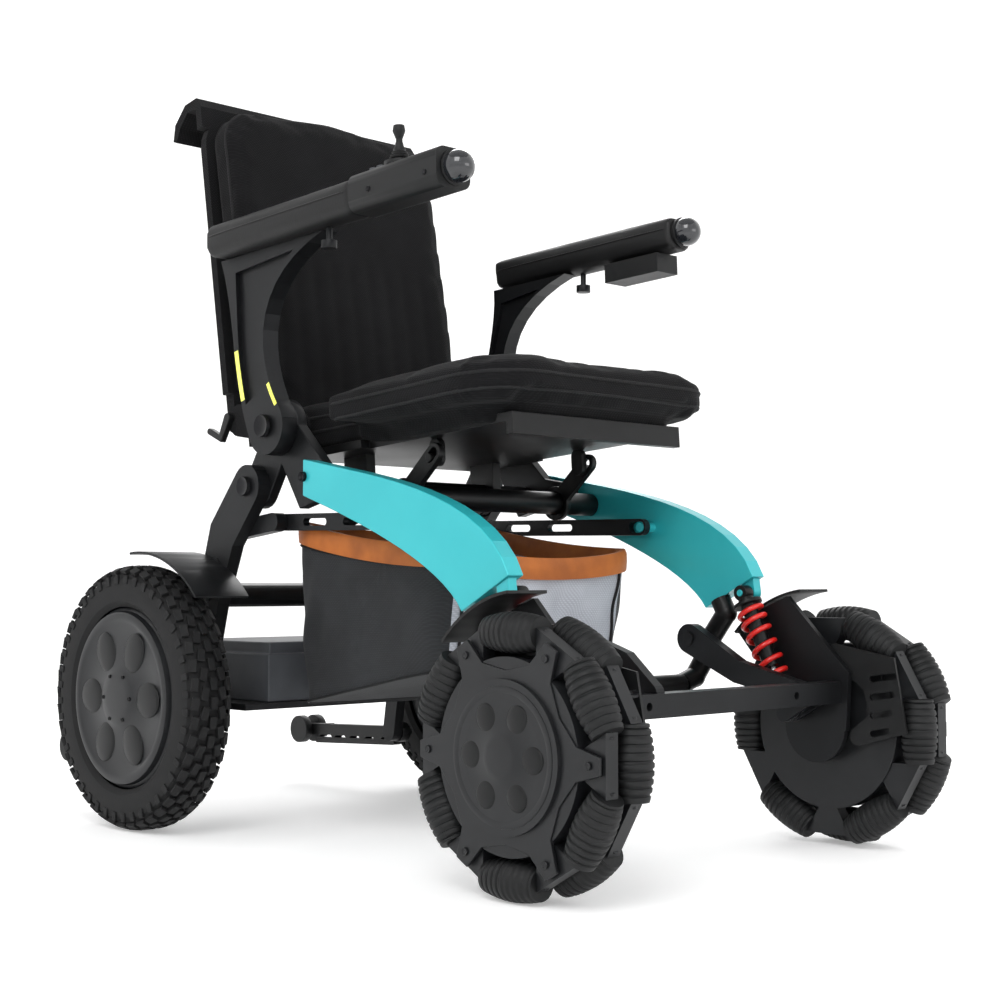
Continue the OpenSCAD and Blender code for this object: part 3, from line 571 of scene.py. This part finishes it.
# ---------- wheels ----------

def hub_turns(place):
    """The wheel's matrix, turned to each of its six petals."""
    return [place @ Matrix.Rotation(math.tau * (i + 0.5) / 6, 4, "X") for i in range(6)]


def hub_cap(outline_mm, place, face, out):
    """Turned cover from [outwards from the hub's face, radius] points."""
    return revolved([(face + out * x * MM, r * MM) for x, r in outline_mm], 72, place)


def rear_wheel(side):
    """Chunky block tread on a rounded carcass, and a hub cover with six petals."""
    body = "rear_wheel_" + side
    place = joint_frame(body + "_spin")
    low, high = corners("rear_tyre_" + side)
    tyre_r = (high.z - low.z) / 2
    half_w = (high.x - low.x) / 2
    hub_low, hub_high = corners("rear_hub_" + side)
    rim_r = (hub_high.z - hub_low.z) / 2
    # inwards from the side, and outwards from the rim or the crown
    half = [(half_w - x * MM, base + r * MM) for x, base, r in (
        (7, rim_r, 0.5), (2, rim_r, 7), (1, rim_r, 20),
        (3, tyre_r, -16), (9, tyre_r, -9), (20, tyre_r, -5))]
    bm = revolved([(-x, r) for x, r in half] + half[::-1], 96, place)
    for i in range(TREAD_PITCHES):
        for x, shift, drop, lean, yaw in TREAD_ROWS:
            spin = Matrix.Rotation(math.tau * (i + shift) / TREAD_PITCHES, 4, "X")
            block(bm, place @ spin @ Matrix.Translation((x * MM, 0, tyre_r - drop * MM))
                  @ Matrix.Rotation(math.radians(lean), 4, "Y")
                  @ Matrix.Rotation(math.radians(yaw), 4, "Z"), mm(9, 15, 5))
        for end in (1, -1):
            spin = Matrix.Rotation(math.tau * (i + 0.5) / TREAD_PITCHES, 4, "X")
            block(bm, place @ spin
                  @ Matrix.Translation((end * (half_w - 2.2 * MM), 0, tyre_r - 17 * MM)),
                  mm(3, 8, 11))
    tyre = piece("rear_tread_" + side, bm, LOOKS["tread"], body, ["rear_tyre_" + side])
    round_edges(tyre, 0.8)

    out = SIDES[side]
    face = (hub_high.x if out > 0 else hub_low.x) - place.translation.x
    rim_mm = rim_r / MM
    cover = ((-6, rim_mm - 4), (1, rim_mm - 6), (2.5, rim_mm - 11), (1.5, rim_mm - 16),
             (-0.5, rim_mm - 20), (0.5, 60), (1.5, 40), (4, 33), (5.5, 27), (6, 20), (6.4, 4),
             (6.4, 0.02))
    bm = hub_cap(cover, place, face, out)
    petals = bmesh.new()
    for turn in hub_turns(place):
        pillow(petals, turn @ Matrix.Translation((face + out * 0.4 * MM, 0, 62 * MM)),
               mm(3.6, 21, 25))
        bolt(petals, turn @ Vector((face + out * 4.6 * MM, 0, 29 * MM)), (out, 0, 0),
             *mm(2.4, 1.8))
    piece("rear_hub_cover_" + side, bm, LOOKS["cover"], body, smooth_angle=40)
    piece("rear_hub_petals_" + side, petals, LOOKS["black_coat"], body)


def roller(side, number):
    """Barrel roller with ribs around it."""
    name = f"roller_{side}_{number:02d}"
    place = joint_frame(name + "_roll")
    wheel = Vector(JOINTS[f"front_wheel_{side}_spin"]["pos_m"])
    spoke = place.translation - wheel
    ring_r = math.hypot(spoke.y, spoke.z)
    into = place.inverted()
    points = [into @ point for point in points_of(name)]
    half = max(point.x for point in points)
    belly = max(math.hypot(point.y, point.z) for point in points)
    wheel_r = ring_r + belly
    steps, core_r, groove = 56, 5 * MM, 1.5 * MM
    outline = [(-half, core_r)]
    for i in range(steps + 1):
        along = -half + 2 * half * i / steps
        radius = math.sqrt(wheel_r ** 2 - along ** 2) - ring_r
        if i % 6 in (2, 3) and 2 < i < steps - 2:
            radius -= groove
        outline.append((along, radius))
    outline.append((half, core_r))
    bm = revolved(outline, 22, place)
    piece("ribbed_" + name, bm, LOOKS["roller"], name, [name], 50)


def star_plate(side, body, place):
    """Six-armed plate on the outer side of the wheel, with a screw in each arm."""
    out = SIDES[side]
    first = joint_frame(f"roller_{side}_01_roll").translation - place.translation
    ring_r = math.hypot(first.y, first.z)
    start = math.atan2(first.z, first.y)
    back_x = first.x + out * 10 * MM
    front_x = back_x + out * 4 * MM

    def at(x, share, degrees):
        angle = start + math.radians(degrees)
        return x, ring_r * share * math.cos(angle), ring_r * share * math.sin(angle)

    star = bmesh.new()
    rings = [[star.verts.new(at(x, share, 60 * i + turn))
              for i in range(6) for turn, share in STAR_ARM] for x in (back_x, front_x)]
    skin(star, rings)
    end_caps(star, rings)
    bmesh.ops.recalc_face_normals(star, faces=star.faces)
    for i in range(6):
        bolt(star, at(front_x, 0.93, 60 * i + 30), (out, 0, 0), *mm(4, 2.5))
    bmesh.ops.translate(star, verts=star.verts, vec=place.translation)
    plate = piece("star_plate_" + side, star, LOOKS["cover"], body)
    round_edges(plate, 0.8)


def front_wheel(side):
    """Star plate, round cap with six petals over the CAD hub, and twelve ribbed rollers."""
    body = "front_wheel_" + side
    place = joint_frame(body + "_spin")
    star_plate(side, body, place)
    out = SIDES[side]
    low, high = corners("front_hub_" + side)
    face = (high.x if out > 0 else low.x) - place.translation.x
    bm = hub_cap(FRONT_CAP, place, face, out)
    piece("front_hub_cap_" + side, bm, LOOKS["cover"], body, smooth_angle=40)
    petals = bmesh.new()
    for turn in hub_turns(place):
        pillow(petals, turn @ Matrix.Translation((face + out * 0.2 * MM, 0, 41 * MM)),
               mm(2.4, 13, 14))
    piece("front_hub_petals_" + side, petals, LOOKS["black_coat"], body)
    for number in range(1, 13):
        roller(side, number)


# ---------- seat, back and armrests ----------

def seat_cushion():
    low, high = corners("seat_cushion")
    centre = middle("seat_cushion")
    half = (high - low) / 2

    def dished(at):
        # a hollow in the upper part, which leaves the side edges and the front higher
        across = (at.x - centre.x) / half.x
        along = (at.y - centre.y) / half.y
        if at.z > centre.z - 4 * MM:
            hollow = math.exp(-(across / 0.55) ** 2 - ((along - 0.15) / 0.6) ** 2)
            at.z -= 6 * MM * hollow

    obj = inflated("seat_cushion_cover", "seat_cushion", LOOKS["knit"], 6, 4, 11, 4, dished)
    upholster(obj, "seat", "seat_cushion")
    # piping where the top cover meets the side band, and where the band meets the base
    normal = tilted(SEAT_RISE)
    for name, lift in (("upper", 12), ("lower", -5)):
        seam(f"cushion_piping_{name}", obj, centre + normal * lift * MM, normal, 1.9,
             LOOKS["band"], "seat")


def backrest():
    up = tilted(BACK_LEAN)
    fore = Vector((0, -math.cos(BACK_LEAN), math.sin(BACK_LEAN)))
    centre = middle("backrest_pad")
    # channels: spacing, half width of the field, height of its top over the middle, fade
    pitch, field, field_top = 0.03, 0.135, 0.03

    def channels(at):
        # stitched vertical channels over the lower half, and a soft lumbar roll
        offset = at - centre
        front = offset.dot(fore) > 0
        height = offset.dot(up)
        if front and height < field_top and abs(at.x) < field:
            fade = min(1, (field_top - height) / 0.03)
            near = abs((at.x / pitch) - round(at.x / pitch)) * pitch
            at -= fore * 1.5 * MM * fade * math.exp(-(near / (4.5 * MM)) ** 2)
        if front:
            lumbar = math.exp(-((height + 0.1) / 0.09) ** 2) * max(0, 1 - (at.x / 0.18) ** 2)
            at += fore * 4 * MM * lumbar
            # the side wings come forward around the body, less so towards the top
            wing = max(0, abs(at.x) - 0.09) / 0.09
            at += fore * 13 * MM * wing ** 2 * max(0, min(1, (0.16 - height) / 0.2))

    obj = inflated("backrest_cover", "backrest_pad", LOOKS["knit"], 6, 6, 9, 4, channels)
    upholster(obj, "backrest", "backrest_pad")
    for name, lift in (("front", 11), ("rear", -10)):
        seam(f"backrest_piping_{name}", obj, centre + fore * lift * MM, fore, 1.8,
             LOOKS["band"], "backrest")


def armrest(side):
    """Padded top with its seam, and the lamp lens with its collar at the front end."""
    body = "armrest_" + side
    node = "armrest_pad_" + side
    obj = inflated("armrest_cover_" + side, node, LOOKS["vinyl"], 4.5, 2.5, 3.5, 3)
    upholster(obj, body, node)
    normal = tilted(ARM_RISE)
    seam("armrest_seam_" + side, obj, middle(node) + normal * 4 * MM, normal, 1.1,
         LOOKS["vinyl"], body, 6)
    # the lens covers the ball that ends the arm
    ball_r = 17 * MM
    points = points_of("control_pod" if side == "right" else "control_box")
    front = min(point.y for point in points)
    pole = [point for point in points if point.y < front + 0.4 * MM]
    ball = sum(pole, Vector()) / len(pole)
    ball.y = front + ball_r
    bm = bmesh.new()
    bmesh.ops.create_uvsphere(bm, u_segments=40, v_segments=24, radius=ball_r + 0.5 * MM,
                              matrix=Matrix.Translation(ball)
                              @ Matrix.Rotation(math.pi / 2, 4, "X"))
    piece("lamp_lens_" + side, bm, LOOKS["lens"], body)
    # collar between the lens and the armrest: [back to front, radius]
    collar = [mm(-2, 16), mm(-2, 18), mm(2, 18.6), mm(3, 16)]
    bm = revolved(collar, 48, Matrix.Translation(ball + Vector((0, 8 * MM, 0)))
                  @ Matrix.Rotation(-math.pi / 2, 4, "Z"))
    piece("lamp_collar_" + side, bm, LOOKS["nylon"], body)


def controls():
    """The joystick's bellows, the pod's screws and the switch keys behind the joystick."""
    stick = joint_frame("joystick_roll").translation
    up = tilted(ARM_RISE)
    bm = revolved([mm(x, r) for x, r in SKIRT], 32,
                  Matrix.Translation(stick) @ turned((1, 0, 0), up))
    piece("joystick_skirt", bm, LOOKS["roller"], "joystick_stick",
          smooth_angle=60)
    pad_low = corners("armrest_pad_right")[0]
    screws = bmesh.new()
    for along, height in ((-34, -23), (-126, -21)):
        bolt(screws, (pad_low.x + 0.5 * MM, pad_low.y + along * MM, stick.z + height * MM),
             (-1, 0, 0), *mm(3.2, 1.6))
    piece("pod_screws", screws, LOOKS["black_steel"], "armrest_right")
    keys = bmesh.new()
    for along in (28, 40):
        centre = stick + Vector((0, along * MM, along * MM * math.sin(-ARM_RISE))) + up * 6.4 * MM
        block(keys, Matrix.Translation(centre), mm(13, 8, 3))
    round_edges(piece("pod_keys", keys, LOOKS["abs"], "armrest_right"),
                0.9)


# ---------- cargo bag ----------

def cargo_bag():
    """Sewn bag: sagging shell, grey lining and front panel, leather rim, piping and straps."""
    # the CAD bag's tabs reach this far out from its sides
    tab = 26.7 * MM
    half_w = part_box("cargo_bag")[1][0] - tab
    rear_y = PIVOT.y + 25 * MM
    front_y = SWING.y + 84 * MM
    top_z = SEAT_PIVOT.z - 36 * MM
    # the rim drops and the base lifts towards the front
    front_drop, deep, front_lift = mm(37, 220, 50)
    count = 120
    levels = 22

    def ring(v, inset=0.0):
        """[point, outward line] around the bag at level v: 0 is the base and 1 the rim."""
        back = rear_y - 12 * MM * (1 - v) - inset
        front = front_y + 20 * MM * (1 - v) + inset
        wide = half_w - 5 * MM * (1 - v) - inset
        cy, hy = (back + front) / 2, (back - front) / 2
        made = []
        for i in range(count):
            a = math.tau * i / count
            # superellipse: nearly straight sides with round corners
            c, s = math.cos(a), math.sin(a)
            k = (abs(c) ** 7 + abs(s) ** 7) ** (-1 / 7)
            x, y = wide * c * k, hy * s * k
            out = Vector((abs(c) ** 5 * math.copysign(1, c), abs(s) ** 5 * math.copysign(1, s), 0))
            out.normalize()
            share = (y + hy) / (2 * hy)
            low = top_z - deep + front_lift * (1 - share) + inset
            high = top_z - front_drop * (1 - share)
            # the rim hangs between its corners
            if abs(s) > abs(c):
                sag = 13 * MM * (1 - (x / wide) ** 2)
            else:
                sag = 8 * MM * (1 - (y / hy) ** 2)
            z = low + (high - sag - low) * v
            # full in the middle, with slanting folds and small dents
            swell = math.sin(math.pi * v)
            fold = math.sin(13 * a + 7 * v) * 1.5 + math.sin(23 * a - 12 * v) * 1.1
            dent = math.sin(70 * x + 95 * y + 61 * z) * 1.4
            push = (swell * (2.2 + fold) + dent * 0.5 * min(1, 4 * (1 - v))) * MM
            made.append((Vector((x, cy + y, z)) + out * push, out))
        return made

    def shell(name, material, inset, bottom_mm, thick_mm, front_material=None):
        """Open-topped cloth with a slightly domed base; gives its area and the rim's length."""
        bm = bmesh.new()
        rows = [[bm.verts.new(p) for p, _ in ring(v / levels, inset)] for v in range(levels + 1)]
        for row in skin(bm, rows):
            if front_material:
                for k, face in enumerate(row):
                    if math.sin(math.tau * (k - 0.5) / count) < -0.74:
                        face.material_index = 1
        centre = sum((v.co for v in rows[0]), Vector()) / count
        inner = rows[0]
        for share in (0.75, 0.5, 0.25):
            rise = Vector((0, 0, bottom_mm * MM * (1 - share)))
            smaller = [bm.verts.new(centre + (v.co - centre) * share + rise) for v in rows[0]]
            skin(bm, [smaller, inner])
            inner = smaller
        bm.faces.new(inner[::-1])
        bm.normal_update()
        area = sum(face.calc_area() for face in bm.faces)
        top = rows[levels]
        around = sum((top[i].co - top[i - 1].co).length for i in range(count))
        bmesh.ops.solidify(bm, geom=bm.faces[:], thickness=thick_mm * MM)
        obj = piece(name, bm, material, "main_frame", smooth_angle=60)
        if front_material:
            obj.data.materials.append(front_material)
        return obj, area, around

    body, area, around = shell("bag_shell", LOOKS["ballistic"], 0, 5, 1.2, LOOKS["felt"])
    lining, lining_area, lining_around = shell("bag_lining", LOOKS["felt"], 2 * MM, 6, 0.7)
    bm = bmesh.new()
    rings = [[bm.verts.new(p + out * x * MM + Vector((0, 0, z * MM))) for x, z in RIM]
             for p, out in ring(1.0, 0.5 * MM)]
    skin(bm, rings, closed=True)
    bmesh.ops.recalc_face_normals(bm, faces=bm.faces)
    rim = piece("bag_rim", bm, LOOKS["leather"], "main_frame", smooth_angle=50)

    # piping near the two edges of the front panel, around the base and under the rim
    bm = bmesh.new()
    fine = [ring(v / 30) for v in range(31)]
    for degrees in (-52, -128):
        index = round(math.radians(degrees) / math.tau * count) % count
        tube(bm, [row[index][0] + row[index][1] * 1.6 * MM for row in fine], 1.8 * MM)
    for v in (0.0, 0.88):
        tube(bm, [p + out * 1.0 * MM for p, out in ring(v)], 1.5 * MM, closed=True)
    piping = piece("bag_piping", bm, LOOKS["tape"], "main_frame", smooth_angle=60)

    # straps from the rear rim up to the rear cross tube
    bm = bmesh.new()
    for side in SIDES.values():
        x = side * 72 * MM
        foot = Vector((x, rear_y - 1 * MM, top_z - 6 * MM))
        head = Vector((x, SEAT_PIVOT.y, SEAT_PIVOT.z - 16 * MM))
        block(bm, Matrix.Translation((foot + head) / 2) @ turned((0, 1, 0), head - foot),
              (25 * MM, (head - foot).length, 2 * MM))
    straps = piece("bag_straps", bm, LOOKS["tape"], "main_frame")

    # each piece of the bag gets a mesh of its own, and the CAD bag is hidden
    for obj in (body, lining, rim, piping, straps):
        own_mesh(obj)
    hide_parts("cargo_bag")


# ---------- frame details ----------

def springs():
    """Two coil springs around the shocks, from end to end of the CAD springs."""
    wire, radius = mm(3, 14)
    turns, per_turn = 7, 28
    top = Vector(JOINTS["shock_tilt"]["pos_m"])
    axis = -Vector(JOINTS["shock_stroke"]["axis"]).normalized()
    centre_x = corners("shock_springs")[1].x - radius - wire
    reach = [(point - top).dot(axis) for point in points_of("shock_springs")]
    first, last = min(reach) + wire, max(reach) - wire
    side_line = Vector((1, 0, 0))
    other = axis.cross(side_line)
    bm = bmesh.new()
    for side in SIDES.values():
        start = Vector((side * centre_x, top.y, top.z))
        points = []
        for i in range(turns * per_turn + 1):
            share = i / (turns * per_turn)
            # flat end coils: the pitch eases off at both ends
            eased = share - 0.045 * math.sin(math.tau * share)
            angle = math.tau * i / per_turn
            points.append(start + axis * (first + (last - first) * eased)
                          + radius * (side_line * math.cos(angle) + other * math.sin(angle)))
        tube(bm, points, wire, sides=12)
    obj = piece("coil_springs", bm, LOOKS["red_enamel"], "shock_bodies", ["shock_springs"],
                60)
    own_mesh(obj)


def strip_on(bm, points, width_mm, x, out):
    """Thin tape on a side face, along [y, z] points."""
    lift = Vector((out * 0.6 * MM, 0, 0))
    rows = []
    for i, (y, z) in enumerate(points):
        a, b = points[max(i - 1, 0)], points[min(i + 1, len(points) - 1)]
        ahead = Vector((0, b[0] - a[0], b[1] - a[1])).normalized()
        across = Vector((1, 0, 0)).cross(ahead) * width_mm / 2 * MM
        at = Vector((x, y, z))
        rows.append([bm.verts.new(at + across), bm.verts.new(at + across + lift),
                     bm.verts.new(at - across + lift), bm.verts.new(at - across)])
    skin(bm, rows)
    end_caps(bm, rows)
    bmesh.ops.recalc_face_normals(bm, faces=bm.faces)


def side_details(side):
    """Caps over the pivots of one side, and reflective tape on its arm."""
    out = SIDES[side]
    outwards = (out, 0, 0)
    beam_out = abs(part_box("side_beam_left")[1][0])
    arm_out = beam_out + 0.4 * MM
    leg_out = beam_out - 4.6 * MM
    fold = Vector(JOINTS["rear_fold"]["pos_m"])
    caps = bmesh.new()
    bolt(caps, (out * (arm_out + 3 * MM), PIVOT.y, PIVOT.z), outwards, *mm(14, 4))
    bolt(caps, (out * (leg_out + 2 * MM), fold.y, fold.z), outwards, *mm(12, 4))
    bolt(caps, (out * beam_out, fold.y - 120 * MM, fold.z + 6 * MM), outwards, *mm(6, 4))
    piece("pivot_caps_" + side, caps, LOOKS["black_steel"], "main_frame")
    # the arm's rear edge is a curve up to the rear end of its pad
    pad_low, pad_high = corners("armrest_pad_" + side)
    top = Vector((pad_high.y - 2 * MM - PIVOT.y, pad_low.z - PIVOT.z))
    handles = (Vector((32, -11)) * MM, Vector((68 * MM, 0.3 * top.y)), 0.68 * top, top)
    curve = []
    for i in range(7):
        t = 0.2 + 0.045 * i
        at = ((1 - t) ** 3 * handles[0] + 3 * t * (1 - t) ** 2 * handles[1]
              + 3 * t * t * (1 - t) * handles[2] + t ** 3 * handles[3])
        curve.append((PIVOT.y + at.x - 5 * MM, PIVOT.z + at.y))
    short = [(PIVOT.y + y * MM, PIVOT.z + z * MM) for y, z in ((-21, 24), (-13, 36), (-5, 50))]
    tape = bmesh.new()
    strip_on(tape, curve, 7, out * arm_out, out)
    strip_on(tape, short, 5, out * arm_out, out)
    piece("reflective_tape_" + side, tape, LOOKS["reflector_painted_glow"], "armrest_" + side)


make_camera()
LOOKS = make_materials()
make_studio()

for part in frame["record"]["subparts"]:
    coat, width = WRAPPED.get(part["node"], COATS[part["material_slot"]])
    if width:
        soften(part["node"], LOOKS[coat], width)
    else:
        repaint(part["node"], LOOKS[coat])

for side_name in SIDES:
    rear_wheel(side_name)
    front_wheel(side_name)
    armrest(side_name)
    side_details(side_name)
seat_cushion()
backrest()
controls()
cargo_bag()
springs()
